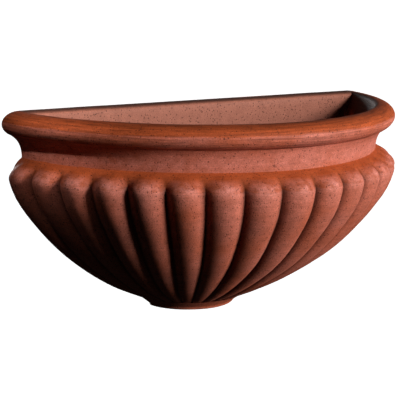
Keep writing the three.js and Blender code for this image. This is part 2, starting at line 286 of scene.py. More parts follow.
def rod(radius, start, end, sides=48):
    """A closed cylinder between two points."""
    run = Vector(end) - Vector(start)
    clear_selection()
    bpy.ops.mesh.primitive_cylinder_add(vertices=sides, radius=radius, depth=run.length)
    piece = named("rod")
    turn = run.to_track_quat("Z", "Y").to_matrix().to_4x4()
    place(piece, Matrix.Translation((Vector(start) + Vector(end)) / 2) @ turn)
    return piece


def block(low, high):
    """A closed box between two corners."""
    clear_selection()
    bpy.ops.mesh.primitive_cube_add(size=1)
    piece = named("block")
    size = Vector(high) - Vector(low)
    middle = (Vector(low) + Vector(high)) / 2
    place(piece, Matrix.Translation(middle) @ Matrix.Diagonal((*size, 1)))
    return piece


# ---- the sizes that follow ----
# A station is (half width, depth, level) of one outline.

# the flank's points, as shares of its height and of its inward run at the sides and at the front
FLANK_POINTS = (
    (0.12, 0.043, 0.025), (0.25, 0.125, 0.094), (0.55, 0.36, 0.322), (0.85, 0.721, 0.716),
)
CURVE_STEPS = 40  # from point to point of a smooth curve
FLANK_STEPS = 160
SHOULDER_STEPS = 20
BODY_STEPS = 200
EASING_PASSES = 30
INNER_POINTS = 8
LEAD_IN = 0.5  # where the flank's curve sets out on the shoulder, above the belly


def mixed(low, high, share_of_high):
    return low + (high - low) * share_of_high


def remapped(value, low, high):
    """The share of the way from low to high, kept between none and all."""
    return min(max((value - low) / (high - low), 0.0), 1.0)


def inside_rim(sizes, inwards, level):
    """A station that lies inwards of the rim's outermost edge, as far all round."""
    return Vector((sizes.rim_half_width - inwards, sizes.rim_depth - inwards, level))


def profile(sizes):
    """The joint's level, and the stations of the neck's foot, the belly and the heel."""
    joint = sizes.rim_top - sizes.crest_height - sizes.under_height
    shoulder_top = joint - sizes.neck_height
    belly_level = shoulder_top - sizes.shoulder_height
    half_width = sizes.rim_half_width - sizes.side_overhang
    neck = Vector((half_width, sizes.rim_depth - sizes.front_overhang, shoulder_top))
    belly = Vector((sizes.belly_half_width, sizes.belly_depth, belly_level))
    heel = Vector((sizes.heel_half_width, sizes.heel_depth, sizes.heel_level))
    return joint, neck, belly, heel


def through(points, steps):
    """Even steps on a centripetal curve through the points."""
    ends = [2 * points[0] - points[1], *points, 2 * points[-1] - points[-2]]
    curve = []
    for before, start, end, after in zip(ends, ends[1:], ends[2:], ends[3:]):
        runs = ((before, start), (start, end), (end, after))
        first, own, last = (max((q - p).length ** 0.5, TINY) for p, q in runs)
        out = (start - before) / first - (end - before) / (first + own) + (end - start) / own
        home = (end - start) / own - (after - start) / (own + last) + (after - end) / last
        for step in range(steps):
            t = step / steps
            a, b = 2 * t**3 - 3 * t**2 + 1, t**3 - 2 * t**2 + t
            c, d = 3 * t**2 - 2 * t**3, t**3 - t**2
            curve.append(a * start + b * own * out + c * end + d * own * home)
    return [*curve, points[-1].copy()]


def spaced(curve, count):
    """Points at even distances along a curve, with both ends."""
    travelled = [0.0]
    for start, end in zip(curve, curve[1:]):
        travelled.append(travelled[-1] + (end - start).length)
    result = []
    for i in range(count + 1):
        goal = travelled[-1] * i / count
        k = max(j for j, t in enumerate(travelled[:-1]) if t <= goal + TINY * TINY)
        run = travelled[k + 1] - travelled[k]
        result.append(curve[k].lerp(curve[k + 1], (goal - travelled[k]) / run))
    return result


def shoulder_station(sizes, up):
    """A station of the shoulder, by its share of the way up from the belly."""
    _, neck, belly, _ = profile(sizes)
    swell = (1 - up**sizes.shoulder_roundness) ** (1 / sizes.shoulder_roundness)
    across, forward = mixed(neck.x, belly.x, swell), mixed(neck.y, belly.y, swell)
    return Vector((across, forward, mixed(belly.z, neck.z, up)))


def flank_stations(sizes, count):
    """Evenly spaced stations from the belly down to the heel."""
    _, _, belly, heel = profile(sizes)
    points = []
    for down, side, front in FLANK_POINTS:
        across, forward = mixed(belly.x, heel.x, side), mixed(belly.y, heel.y, front)
        points.append(Vector((across, forward, mixed(belly.z, heel.z, down))))
    above = shoulder_station(sizes, LEAD_IN)
    return spaced(through([above, belly, *points, heel], CURVE_STEPS)[CURVE_STEPS:], count)


def body_curve(sizes):
    """The outside from the neck's foot down to the heel, with the belly's turn eased."""
    shoulder = [shoulder_station(sizes, 1 - i / SHOULDER_STEPS) for i in range(SHOULDER_STEPS)]
    curve = spaced([*shoulder, *flank_stations(sizes, FLANK_STEPS)], BODY_STEPS)
    for _ in range(EASING_PASSES):
        middle = [(a + 2 * b + c) / 4 for a, b, c in zip(curve, curve[1:], curve[2:])]
        curve = [curve[0], *middle, curve[-1]]
    return curve


def inner_curve(sizes):
    """The inside, from the mouth down to past the floor, square to the outside."""
    _, neck, _, _ = profile(sizes)
    inwards = sizes.crest_reach + sizes.lip_radius
    mouth = inside_rim(sizes, inwards, sizes.rim_top - sizes.lip_radius)
    wall = sizes.wall
    throat = Vector((neck.x - wall, neck.y - wall, neck.z + sizes.neck_height / 2))
    fine = flank_stations(sizes, FLANK_STEPS)
    inner = []
    for i in range(1, INNER_POINTS + 1):
        k = min(i * FLANK_STEPS // INNER_POINTS, FLANK_STEPS - 1)
        tangent = fine[k + 1] - fine[k - 1]
        side = wall * math.hypot(1, tangent.x / tangent.z)
        front = wall * math.hypot(1, tangent.y / tangent.z)
        inner.append(fine[k] - Vector((side, front, 0)))
    return through([mouth, throat, *inner], CURVE_STEPS)


def station_at(curve, level):
    for upper, lower in zip(curve, curve[1:]):
        if upper.z >= level > lower.z:
            return upper.lerp(lower, (upper.z - level) / (upper.z - lower.z))
    return Vector((curve[0].x, curve[0].y, level))


def stations_between(curve, start, end, steps):
    """The curve's stations at even levels from start to end."""
    return [station_at(curve, mixed(start, end, i / steps)) for i in range(steps + 1)]


def lip_stations(sizes, steps):
    """Over the lip, from the mouth up to the crest of the bead."""
    reach = sizes.crest_reach + sizes.lip_radius
    stations = []
    for i in range(steps):
        angle = QUARTER * (i + 1) / steps
        inwards = reach - sizes.lip_radius * (1 - math.cos(angle))
        level = sizes.rim_top - sizes.lip_radius * (1 - math.sin(angle))
        stations.append(inside_rim(sizes, inwards, level))
    return stations


def bead_stations(sizes, steps):
    """Over the bead, from past its crest to its outermost edge, and on under it to its foot."""
    stations = []
    for i in range(1, steps):
        angle = QUARTER * i / steps
        level = sizes.rim_top - sizes.crest_height * (1 - math.cos(angle))
        stations.append(inside_rim(sizes, sizes.crest_reach * (1 - math.sin(angle)), level))
    turn = sizes.under_turn
    edge_level = sizes.rim_top - sizes.crest_height
    for i in range(steps + 1):
        angle = turn * i / steps
        inwards = sizes.under_reach * (1 - math.cos(angle)) / (1 - math.cos(turn))
        level = edge_level - sizes.under_height * math.sin(angle) / math.sin(turn)
        stations.append(inside_rim(sizes, inwards, level))
    return stations


# ---- forms that grow ring by ring ----

DRIFT_END = math.radians(145)  # where the drift of the lobes has died away
DRIFT_POWER = 1.5
CAP_RATIOS = (0.97, 0.5)  # the rings of a flat end
# what the vertices carry: the column and ring that they grew in, and painted highlight and shade
LANE = "lane"
ROW = "row"
PAINTED_HIGHLIGHT = "painted_highlight"
PAINTED_SHADE = "painted_shade"


def on_oval(angle, roundness):
    """A point of the plan of unit width and depth, by its angle from the right end."""
    across, forward = math.cos(angle), math.sin(angle)
    stretch = (abs(across) ** roundness + forward**roundness) ** (-1 / roundness)
    return Vector((across * stretch, -forward * stretch, 0))


def drift_columns(piece, columns, roundness, drift):
    """Moves the columns along the outline, most a little to the right of the front."""
    for column in range(1, columns):
        angle = math.pi * column / columns
        moved = angle - drift * math.sin(math.pi * min(angle / DRIFT_END, 1)) ** DRIFT_POWER
        start, end = on_oval(angle, roundness), on_oval(moved, roundness)
        select(piece, lambda co: (co - start).length < TINY)
        shift(*(end - start))


def half_ring(name, columns, roundness, station, drift=0.0):
    """The first outline of a form: a half oval, open at the back, with its columns numbered."""
    clear_selection()
    bpy.ops.mesh.primitive_circle_add(vertices=2 * columns, radius=1)
    piece = named(name)
    edit(piece)
    select(piece, lambda co: co.y > TINY)
    bpy.ops.mesh.delete(type="VERT")
    for column in range(1, columns // 2):
        angle = math.pi * column / columns
        across, forward = math.cos(angle), math.sin(angle)
        stretch = (across**roundness + forward**roundness) ** (-1 / roundness)
        select(piece, lambda co: abs(abs(co.x) - across) < TINY and abs(co.y + forward) < TINY)
        scale(stretch, stretch)
    if drift:
        drift_columns(piece, columns, roundness, drift)
    mesh = bmesh.from_edit_mesh(piece.data)
    lane = mesh.verts.layers.int.new(LANE)
    mesh.verts.layers.int.new(ROW)
    for column, vertex in enumerate(sorted(mesh.verts, key=lambda v: v.co.x)):
        vertex[lane] = column
    bmesh.update_edit_mesh(piece.data)
    select_all()
    scale(station.x, station.y)
    shift(0, 0, station.z)
    return piece


def from_crease(lane, steps):
    """How many columns a lane stands from the nearest crease between two lobes."""
    return min(lane % steps, -lane % steps)


def select_lanes(piece, outline, test):
    """Selects the vertices of an outline, given by number, whose lanes pass a test."""
    bpy.ops.mesh.select_all(action="DESELECT")
    mesh = bmesh.from_edit_mesh(piece.data)
    mesh.verts.ensure_lookup_table()
    lane = mesh.verts.layers.int[LANE]
    for number in outline:
        vertex = mesh.verts[number]
        vertex.select = test(vertex[lane])
    mesh.select_flush_mode()
    bmesh.update_edit_mesh(piece.data)


def stretch_lanes(piece, ratio, steps, swell):
    """Scales the selected outline, and each lane of its lobes by its own swell."""
    mesh = bmesh.from_edit_mesh(piece.data)
    mesh.verts.ensure_lookup_table()
    outline = [vertex.index for vertex in mesh.verts if vertex.select]
    for spot in range(steps // 2 + 1):
        select_lanes(piece, outline, lambda lane: from_crease(lane, steps) == spot)
        grow = swell(spot)
        scale(ratio[0] * grow, ratio[1] * grow)
    select_lanes(piece, outline, lambda lane: True)


def level_swell(spot):
    return 1.0


def grow_to(piece, last, station, steps=1, swell=level_swell):
    """Extrudes the selected outline from the last station to the next, and numbers it."""
    bpy.ops.mesh.extrude_region()
    mesh = bmesh.from_edit_mesh(piece.data)
    row = mesh.verts.layers.int[ROW]
    for vertex in mesh.verts:
        if vertex.select:
            vertex[row] += 1
    bmesh.update_edit_mesh(piece.data)
    shift(0, 0, station.z - last.z)
    stretch_lanes(piece, (station.x / last.x, station.y / last.y), steps, swell)


def grow_along(piece, stations):
    """Grows the selected outline, which lies at the first station, through all the others."""
    for last, station in zip(stations, stations[1:]):
        grow_to(piece, last, station)


def close_end():
    """Draws the selected outline in to the middle of the back, as a flat end."""
    for ratio in CAP_RATIOS:
        bpy.ops.mesh.extrude_region()
        scale(ratio, ratio)
    bpy.ops.mesh.extrude_region()
    scale(0, 0)
    bpy.ops.mesh.merge(type="CENTER")


def close_both_ends(piece, at_start):
    """Closes the end that is selected, and the one whose vertices pass a test of their place."""
    close_end()
    select(piece, at_start)
    close_end()


def close_back(piece, past=0.0):
    """Fills the open back, after carrying it past the plane of the back if that is asked for."""
    edit(piece)
    bpy.ops.mesh.select_mode(type="EDGE")
    bpy.ops.mesh.select_all(action="DESELECT")
    bpy.ops.mesh.select_non_manifold(
        use_wire=False, use_boundary=True, use_multi_face=False, use_non_contiguous=False,
        use_verts=False,
    )
    if past:
        bpy.ops.mesh.extrude_region()
        shift(0, past, 0)
    bpy.ops.mesh.fill(use_beauty=False)
    leave()
    outward(piece)


def crease(piece, amount, test):
    """Creases the edges whose ends' (lane, row) numbers pass a test."""
    layers = bmesh.from_edit_mesh(piece.data).verts.layers.int
    lane, row = layers[LANE], layers[ROW]
    select_edges(piece, lambda a, b: test((a[lane], a[row]), (b[lane], b[row])))
    bpy.ops.transform.edge_crease(value=amount)
    bpy.ops.mesh.select_mode(type="VERT")


def soften(piece, levels):
    """Rounds a grown form between its creases, and closes its back."""
    leave()
    finish_with(
        piece, "SUBSURF", levels=levels, render_levels=levels, boundary_smooth="PRESERVE_CORNERS"
    )
    close_back(piece)


def hand_finish(piece, amount, spread):
    """Lets the surface wander a little, except in the plane of the back, and shades it smooth."""
    group = piece.vertex_groups.new(name="free")
    free = [v.index for v in piece.data.vertices if v.co.y < -TINY]
    group.add(free, 1.0, "REPLACE")
    unevenness = bpy.data.textures.new(f"{piece.name}_unevenness", "CLOUDS")
    unevenness.noise_scale = spread
    unevenness.noise_depth = 2
    finish_with(
        piece, "DISPLACE", texture=unevenness, strength=amount, mid_level=0.5,
        texture_coords="LOCAL", vertex_group="free",
    )
    piece.vertex_groups.clear()
    smooth(piece)


# ---- clay pieces ----

LOBE_STEPS = 12
PLAN_COLUMNS = 72
FLANK_ROWS = 12
SHOULDER_ROWS = 9
NECK_ROWS = 4
HOLLOW_ROWS = 12
LIP_STEPS = 4
BEAD_STEPS = 6
FOOT_EDGE_STEPS = 3
SLAB_EDGE_STEPS = 8
SLAB_CUTS = 29
VALLEY_CREASE = 0.85
VALLEY_CREASE_ROWS = 5  # above the belly
FLOOR_CREASE = 0.7
DOME_TOP = 0.85  # where a lobe ends, as a share of the way from the belly up to the neck
DOME_POWER = 2.6
HIGHLIGHT_ROW = 2  # the middle of the painted highlight on each dome, in rings above the belly
DOME_ROWS = 3  # from there to the patch's end, up and down
# how pale the painted highlight is at the neck's foot, fading to none at the joint
NECK_HIGHLIGHT = 0.6
VALLEY_SHADE = 0.75  # where painted shade in a crease begins, as a share of the way from a lobe's ridge to its crease
SHADE_ROWS = (-1, 4)  # over which the painted shade in the creases thins out, from the middle of the painted highlight
RIM_SHADE_ROWS = (4, 7)  # over which the painted shade over the rim's inside thins out, counted from the joint inside
FOOT_TOP_ROW, FOOT_LOW_ROW = 0.12, 0.2  # rings that hold the foot's upper and lower edge
# from swell to swell of the hand-finished clay
BOWL_WANDER = 0.045
RIM_WANDER = BACK_WANDER = 0.06
FOOT_WANDER = 0.04


def drain_cutter(sizes):
    y = -sizes.drain_forward
    low, high = foot_low.z - sizes.floor, sizes.heel_level + 2 * sizes.floor
    return rod(sizes.drain_radius, (0, y, low), (0, y, high))


def lobe_swell(sizes, spot, up):
    """How much a lane of a lobe stands out: spot counts from the crease, up from belly to tip."""
    across = 1 - 2 * spot / LOBE_STEPS
    fullness = sizes.lobe_fullness
    radius = (1 + fullness**2) / (2 * fullness)
    reach = max(radius**2 - across**2 - (up / DOME_TOP) ** DOME_POWER, 0)
    rise = max(math.sqrt(reach) - (radius - fullness), 0)
    return 1 + math.pi / sizes.lobe_count / 2 * rise


def body_rows(sizes):
    """The bowl's outside from the heel up: each ring's station and its share of a lobe's dome."""
    joint, neck, belly, heel = profile(sizes)
    body = body_curve(sizes)
    flank = list(reversed(flank_stations(sizes, FLANK_ROWS)))[1:-1]
    rows = [(heel, 0.0), *((station_at(body, station.z), 0.0) for station in flank)]
    for i in range(SHOULDER_ROWS):
        up = math.sin(QUARTER * i / SHOULDER_ROWS)
        rows.append((station_at(body, mixed(belly.z, neck.z, up)), up))
    flared = inside_rim(sizes, sizes.under_reach, joint)
    bend = Vector((neck.x, neck.y, joint - sizes.neck_bend))
    for i in range(NECK_ROWS + 1):
        t = i / NECK_ROWS
        rows.append(((1 - t) ** 2 * neck + 2 * t * (1 - t) * bend + t**2 * flared, 1.0))
    return rows


def mark_painted_light(piece, middle_row, joint_row):
    """Marks a painted highlight on the most prominent part of every lobe and at the neck's foot,
    and painted shade in the creases and inside.
    """
    mesh = bmesh.from_edit_mesh(piece.data)
    painted_highlight = mesh.verts.layers.float.new(PAINTED_HIGHLIGHT)
    lane, row = mesh.verts.layers.int[LANE], mesh.verts.layers.int[ROW]
    painted_shade = mesh.verts.layers.float.new(PAINTED_SHADE)
    thin_start, thin_end = (middle_row + rows for rows in SHADE_ROWS)
    for vertex in mesh.verts:
        across = 1 - 2 * from_crease(vertex[lane], LOBE_STEPS) / LOBE_STEPS
        thinning = 1 - remapped(vertex[row], thin_start, thin_end)
        in_valley = remapped(across, VALLEY_SHADE, 1.0) * thinning
        vertex[painted_shade] = 1.0 if vertex[row] > joint_row + 1 else in_valley
        if joint_row - NECK_ROWS < vertex[row] <= joint_row:
            vertex[painted_highlight] = NECK_HIGHLIGHT * (joint_row - vertex[row]) / NECK_ROWS
        else:
            from_middle = abs(vertex[row] - middle_row)
            vertex[painted_highlight] = (1 - across**2) * max(0, 1 - from_middle / DOME_ROWS)
    bmesh.update_edit_mesh(piece.data)


def make_bowl(sizes):
    joint, _, belly, heel = profile(sizes)
    rows = body_rows(sizes)
    drift = sizes.lobe_drift / belly.x
    bowl = half_ring("bowl", sizes.lobe_count * LOBE_STEPS, sizes.roundness, heel, drift)
    stretch_lanes(bowl, (1, 1), LOBE_STEPS, lambda spot: lobe_swell(sizes, spot, 0))
    for (last, last_up), (station, up) in zip(rows, rows[1:]):
        grow_to(
            bowl, last, station, LOBE_STEPS,
            lambda spot: lobe_swell(sizes, spot, up) / lobe_swell(sizes, spot, last_up),
        )
    inside = stations_between(inner_curve(sizes), joint, heel.z + sizes.floor, HOLLOW_ROWS)
    grow_along(bowl, [rows[-1][0], *inside])
    close_both_ends(bowl, lambda co: co.z < heel.z + TINY)
    joint_row = FLANK_ROWS + SHOULDER_ROWS + NECK_ROWS
    floor_row = joint_row + HOLLOW_ROWS + 1
    valley_end = FLANK_ROWS + VALLEY_CREASE_ROWS
    crease(bowl, 1.0, lambda a, b: a[1] == b[1] and a[1] in (0, joint_row, joint_row + 1))
    crease(bowl, FLOOR_CREASE, lambda a, b: a[1] == b[1] == floor_row)
    crease(bowl, VALLEY_CREASE, lambda a, b: (
        a[0] == b[0] and a[0] % LOBE_STEPS == 0 and max(a[1], b[1]) <= valley_end
    ))
    mark_painted_light(bowl, FLANK_ROWS + HIGHLIGHT_ROW, joint_row)
    soften(bowl, 1)
    cut(bowl, drain_cutter(sizes))
    hand_finish(bowl, sizes.unevenness, BOWL_WANDER)
    return bowl


def make_rim(sizes):
    joint = profile(sizes)[0]
    curve = inner_curve(sizes)
    inside = [station_at(curve, mixed(joint, curve[0].z, t)) for t in (0, 0.5)] + [curve[0].copy()]
    section = [*inside, *lip_stations(sizes, LIP_STEPS), *bead_stations(sizes, BEAD_STEPS)]
    rim = half_ring("rim", PLAN_COLUMNS, sizes.roundness, section[0])
    grow_along(rim, [*section, section[0]])
    mesh = bmesh.from_edit_mesh(rim.data)
    # painted shade over the rim's inside, thinning out over the lip
    painted_shade, row = mesh.verts.layers.float.new(PAINTED_SHADE), mesh.verts.layers.int[ROW]
    for vertex in mesh.verts:
        vertex[painted_shade] = 1 - remapped(vertex[row], *RIM_SHADE_ROWS)
    bmesh.update_edit_mesh(rim.data)
    closing = len(section)
    crease(rim, 1.0, lambda a, b: a[1] == b[1] and a[1] in (0, closing - 1, closing))
    select_all()
    bpy.ops.mesh.remove_doubles(threshold=TINY)
    soften(rim, 2)
    hand_finish(rim, sizes.unevenness, RIM_WANDER)
    return rim


def make_back(sizes):
    curve = inner_curve(sizes)
    floor_level = sizes.heel_level + sizes.floor
    stations = stations_between(curve, floor_level, curve[0].z, HOLLOW_ROWS)
    stations += lip_stations(sizes, LIP_STEPS)
    stations.append(stations[-1] + Vector((0, 0, sizes.lip_radius)))
    hollow = half_ring("hollow", PLAN_COLUMNS, sizes.roundness, stations[0])
    grow_along(hollow, stations)
    close_both_ends(hollow, lambda co: co.z < floor_level + TINY)
    leave()
    close_back(hollow, past=sizes.wall)
    half_width, top = sizes.rim_half_width, sizes.rim_top
    back = block((-half_width, -sizes.slab, floor_level - TINY), (half_width, 0, top))
    back.name = back.data.name = "back"
    edit(back)
    select_edges(
        back, lambda a, b: min(a.co.z, b.co.z) > top - TINY and max(a.co.y, b.co.y) < -TINY
    )
    bpy.ops.mesh.bevel(offset=sizes.slab_edge_depth, segments=SLAB_EDGE_STEPS, profile=0.5)
    bevel_low = top - sizes.slab_edge_depth
    select(back, lambda co: bevel_low - TINY < co.z < top - TINY)
    scale(1, 1, sizes.slab_edge_height / sizes.slab_edge_depth, about=(0, 0, top))
    select_all()
    bpy.ops.mesh.subdivide(number_cuts=SLAB_CUTS)
    leave()
    cut(back, hollow, "INTERSECT")
    for x in (-sizes.hang_half_spacing, sizes.hang_half_spacing):
        cut(back, rod(sizes.hang_radius, (x, -2 * sizes.slab, 0), (x, sizes.slab, 0)))
    hand_finish(back, sizes.unevenness, BACK_WANDER)
    return back


def make_foot(sizes):
    top = Vector((foot_high.x, -foot_low.y, sizes.heel_level))
    taper, edge = sizes.foot_taper, sizes.foot_edge
    low = Vector((top.x - taper, top.y - taper, foot_low.z + edge))
    rows = [top, top.lerp(low, FOOT_TOP_ROW), top.lerp(low, 0.5), low.lerp(top, FOOT_LOW_ROW), low]
    for i in range(1, FOOT_EDGE_STEPS + 1):
        angle = QUARTER * i / FOOT_EDGE_STEPS
        inwards = edge * (1 - math.cos(angle))
        rows.append(low - Vector((inwards, inwards, edge * math.sin(angle))))
    foot = half_ring("foot_pad", PLAN_COLUMNS // 2, sizes.roundness, rows[0])
    grow_along(foot, rows)
    close_both_ends(foot, lambda co: co.z > top.z - TINY)
    crease(foot, 1.0, lambda a, b: a[1] == b[1] == 0)
    soften(foot, 2)
    cut(foot, drain_cutter(sizes))
    hand_finish(foot, sizes.unevenness / 2, FOOT_WANDER)
    return foot


# ---- fixings, on an axis along Y ----

SCREW_SIDES = 36
WASHER_SIDES = 64
PLUG_SIDES = 40
HEAD_STEPS = 8
HEAD_RIM = 0.08  # the head's upright edge, as a share of its height
HEAD_EDGE = 0.0002
ROOT_START, ROOT_END, CREST = 0.1, 0.6, 0.85  # of a thread, as shares of its pitch
RECESS_LEAD = 0.001  # how far the recess's cutter stands out of the head
WASHER_EDGE = 0.0003
PLUG_EDGE = 0.0004
SHARP = 30  # degrees, past which an edge of a fixing stays sharp


def turned(name, outline, sides):
    """A closed form turned about the Y axis from (radius, y) points."""
    clear_selection()
    bpy.ops.mesh.primitive_plane_add(size=1)
    piece = named(name)
    edit(piece)
    select_all()
    bpy.ops.mesh.merge(type="CENTER")
    shift(*outline[0], 0)
    for (radius, y), (last_radius, last_y) in zip(outline[1:], outline):
        bpy.ops.mesh.extrude_region()
        shift(radius - last_radius, y - last_y, 0)
    select_all()
    bpy.ops.mesh.spin(steps=sides, angle=2 * math.pi, center=(0, 0, 0), axis=(0, 1, 0))
    select_all()
    bpy.ops.mesh.remove_doubles(threshold=TINY)
    leave()
    outward(piece)
    return piece


def make_screw(sizes, name):
    head, shank, pitch = sizes.head_radius, sizes.shank_radius, sizes.thread_pitch
    front, seat = sizes.head_front, sizes.head_front + sizes.head_height
    dome = []
    for i in range(HEAD_STEPS):
        angle = QUARTER * i / HEAD_STEPS
        dome.append((head * math.sin(angle), seat - sizes.head_height * math.cos(angle)))
    dome.append((head, seat - sizes.head_height * HEAD_RIM))
    thread_end, root = sizes.screw_tip - sizes.point_length, shank - sizes.thread_depth
    ridges = []
    for i in range(int(thread_end / pitch)):
        for radius, along in ((root, ROOT_START), (root, ROOT_END), (shank, CREST)):
            ridges.append((radius, i * pitch + along * pitch))
    under_head = [(head - HEAD_EDGE, seat), (shank, seat), (shank, 0.0)]
    point = [(root, thread_end), (0, sizes.screw_tip)]
    screw = turned(name, [*dome, *under_head, *ridges, *point], SCREW_SIDES)
    span, width = sizes.recess_span / 2, sizes.recess_width / 2
    for x, z in ((span, width), (width, span)):
        cut(screw, block((-x, front - RECESS_LEAD, -z), (x, front + sizes.recess_depth, z)))
    return screw


def make_washer(sizes, name):
    front, back, edge = ring_low.y, ring_high.y, WASHER_EDGE
    bore, rim = sizes.washer_bore, sizes.washer_radius
    return turned(name, [
        (bore + edge, front), (rim - edge, front), (rim, front + edge),
        (rim, back - edge), (rim - edge, back), (bore + edge, back),
        (bore, back - edge), (bore, front + edge), (bore + edge, front),
    ], WASHER_SIDES)


def make_plug(sizes, name):
    mouth, end, edge = plug_low.y, plug_high.y, PLUG_EDGE
    outer, bore, root = sizes.plug_radius, sizes.plug_bore, sizes.plug_radius - sizes.plug_barb
    split = mouth + sizes.plug_collar
    barbs = []
    for i in range(sizes.plug_barbs):
        y = split + i * sizes.plug_pitch
        barbs += [(outer, y), (root, y + edge), (outer - edge / 4, y + sizes.plug_pitch - edge)]
    plug = turned(name, [
        (bore + edge, mouth), (outer - edge, mouth), (outer, mouth + edge), *barbs,
        (root, end - 3 * edge), (root - 2 * edge, end),
        (bore, end), (bore, mouth + edge), (bore + edge, mouth),
    ], PLUG_SIDES)
    half_slot = sizes.plug_slot / 2
    cut(plug, block((-2 * outer, split, -half_slot), (2 * outer, end + outer, half_slot)))
    return plug


def pair(sizes, make, fixings, word):
    """Makes one fixing, copies it with its own mesh, and sets both at the hanging holes."""
    first = make(fixings, f"{word}_left")
    smooth(first, SHARP)
    take(first)
    bpy.ops.object.duplicate()
    second = named(f"{word}_right")
    for piece, side in ((first, -1), (second, 1)):
        place(piece, Matrix.Translation((side * sizes.hang_half_spacing, 0, 0)))
        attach(piece, "root")
    return first, second


# ---- nodes ----

NOISE_SPAN = (0.3, 0.7)  # where a noise texture's values mostly lie
SPECK_EDGE = 0.06  # softness of a speck's edge, as a share of the spacing
SPECK_DEPTH = 0.8
WINDING_RADIUS = 0.18  # at which a streak has its true length
STREAK_SPREAD = 4.0  # how much wider a streak is across a level surface
# how far up the clay faces, as the Z of its normal: from bloom with painted sheen to plain fired
# clay, and from plain fired clay to painted shade
TURNS_SHEEN_OFF = (0.2, 0.75)
TURNS_DARK = (0.75, 0.98)
BLOOM_AND_SHEEN_EDGE = (0.55, 1.05)


def put(tree, kind, inputs=None, **settings):
    """Adds a node. An input is a value or another node's socket."""
    node = tree.nodes.new(kind)
    for name, value in settings.items():
        setattr(node, name, value)
    for name, value in (inputs or {}).items():
        if isinstance(value, bpy.types.NodeSocket):
            tree.links.new(value, node.inputs[name])
        else:
            node.inputs[name].default_value = value
    return node


def math_node(tree, operation, *values, clamp=False):
    inputs = dict(enumerate(values))
    return put(tree, "ShaderNodeMath", inputs, operation=operation, use_clamp=clamp).outputs[0]


def times(tree, value, *others):
    for other in others:
        value = math_node(tree, "MULTIPLY", value, other)
    return value


def mix_colour(tree, amount, low, high):
    low, high = (
        value if isinstance(value, bpy.types.NodeSocket) else (*value, 1.0) for value in (low, high)
    )
    inputs = {0: amount, 6: low, 7: high}
    node = put(tree, "ShaderNodeMix", inputs, data_type="RGBA", blend_type="MIX", clamp_factor=True)
    return node.outputs[2]


def vector_math(tree, operation, **inputs):
    """Vector math on a first vector, and on a second or a scale where the operation has one."""
    names = {"first": 0, "second": 1, "by": "Scale"}
    numbered = {names[key]: value for key, value in inputs.items()}
    return put(tree, "ShaderNodeVectorMath", numbered, operation=operation).outputs


def remap(tree, value, low, high, new_low=0.0, new_high=1.0):
    inputs = {
        "Value": value, "From Min": low, "From Max": high, "To Min": new_low, "To Max": new_high,
    }
    return put(tree, "ShaderNodeMapRange", inputs, clamp=True).outputs["Result"]


def noise(tree, where, scale_by, detail, roughness):
    return put(tree, "ShaderNodeTexNoise", {
        "Vector": where, "Scale": scale_by, "Detail": detail, "Roughness": roughness,
    }).outputs["Fac"]


def per_metre(tree, size):
    """The scale of a pattern whose features have the given size."""
    return math_node(tree, "DIVIDE", 1.0, size)


def facing(tree):
    """The direction that the surface faces, as X, Y and Z."""
    normal = put(tree, "ShaderNodeTexCoord").outputs["Normal"]
    return put(tree, "ShaderNodeSeparateXYZ", {"Vector": normal}).outputs


def new_group(name, given, results):
    """A shader group that takes a Vector and the given values, and puts out the results."""
    tree = bpy.data.node_groups.new(name, "ShaderNodeTree")
    tree.interface.new_socket("Vector", in_out="INPUT", socket_type="NodeSocketVector")
    for label, default in given.items():
        socket = tree.interface.new_socket(label, in_out="INPUT", socket_type="NodeSocketFloat")
        socket.default_value = default
    for label in results:
        tree.interface.new_socket(label, in_out="OUTPUT", socket_type="NodeSocketFloat")
    inputs, outputs = tree.nodes.new("NodeGroupInput"), tree.nodes.new("NodeGroupOutput")
    return tree, inputs.outputs, outputs.inputs


def grit_group():
    """Fine grain and scattered dark specks of grit."""
    tree, given, out = new_group(
        "Grit",
        {"Grain size": 0.0012, "Speck spacing": 0.004, "Speck size": 0.2, "Speck share": 0.35},
        ("Grain", "Specks", "Height"),
    )
    grain = noise(tree, given["Vector"], per_metre(tree, given["Grain size"]), 2.0, 0.6)
    spread = per_metre(tree, given["Speck spacing"])
    cells = put(tree, "ShaderNodeTexVoronoi", {
        "Vector": given["Vector"], "Scale": spread, "Randomness": 1.0,
    }).outputs
    lot = put(tree, "ShaderNodeSeparateColor", {"Color": cells["Color"]}).outputs
    chosen = math_node(tree, "LESS_THAN", lot[0], given["Speck share"])
    near = math_node(tree, "SUBTRACT", times(tree, lot[1], given["Speck size"]), cells["Distance"])
    specks = times(tree, remap(tree, near, 0.0, SPECK_EDGE), chosen)
    tree.links.new(grain, out["Grain"])
    tree.links.new(specks, out["Specks"])
    height = math_node(tree, "SUBTRACT", grain, times(tree, specks, SPECK_DEPTH))
    tree.links.new(height, out["Height"])
    return tree


def wiping_group():
    """Streaks left by a wet sponge drawn round the pot."""
    tree, given, out = new_group(
        "Wiping", {"Streak length": 0.05, "Streak width": 0.0012}, ("Streaks",)
    )
    at = put(tree, "ShaderNodeSeparateXYZ", {"Vector": given["Vector"]}).outputs
    turn = math_node(tree, "ARCTAN2", at["X"], times(tree, at["Y"], -1.0))
    along = math_node(tree, "DIVIDE", times(tree, turn, WINDING_RADIUS), given["Streak length"])
    flat = vector_math(tree, "MULTIPLY", first=given["Vector"], second=(1.0, 1.0, 0.0))[0]
    from_axis = vector_math(tree, "LENGTH", first=flat)["Value"]
    spread = times(tree, given["Streak width"], STREAK_SPREAD)
    outwards = math_node(tree, "DIVIDE", from_axis, spread)
    upwards = math_node(tree, "DIVIDE", at["Z"], given["Streak width"])
    wound = put(tree, "ShaderNodeCombineXYZ", {"X": along, "Y": outwards, "Z": upwards}).outputs[0]
    tree.links.new(noise(tree, wound, 1.0, 3.0, 0.55), out["Streaks"])
    return tree


